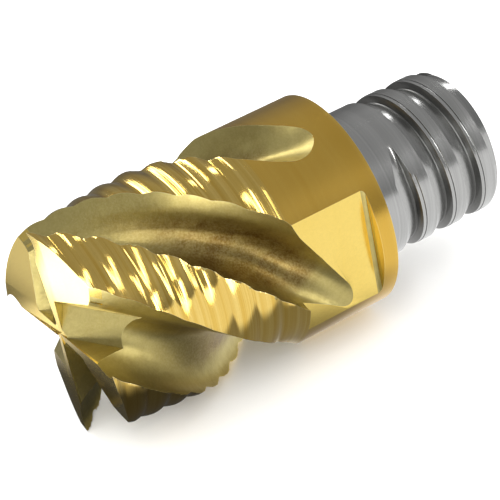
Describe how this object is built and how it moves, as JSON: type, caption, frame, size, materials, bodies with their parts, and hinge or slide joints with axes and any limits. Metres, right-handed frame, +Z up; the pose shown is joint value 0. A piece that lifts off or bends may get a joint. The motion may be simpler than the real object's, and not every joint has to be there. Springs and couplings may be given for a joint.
{
  "type": "screw-in roughing end mill head",
  "caption": "Exchangeable screw-in milling head: coated helical roughing cutter with wavy lands, wrench flats and a plain pilot neck ahead of a coarse buttress-like thread.",
  "frame": {"origin": "on the tool axis, in the plane of the collar's rear seating face", "axes": "+X along the tool axis from the cutting end towards the thread end, the two wrench flats face -Y and +Y, +Z up"},
  "size_m": [0.0417, 0.02, 0.02],
  "materials": {
    "coated_carbide": "ground, with a thin gold-coloured hard coating",
    "bare_metal": "ground and turned, bare",
    "braze": "dull"
  },
  "bodies": {
    "root": {"cutting_head": "coated_carbide", "threaded_coupling": "bare_metal", "braze_layer": "braze"}
  },
  "joints": []
}
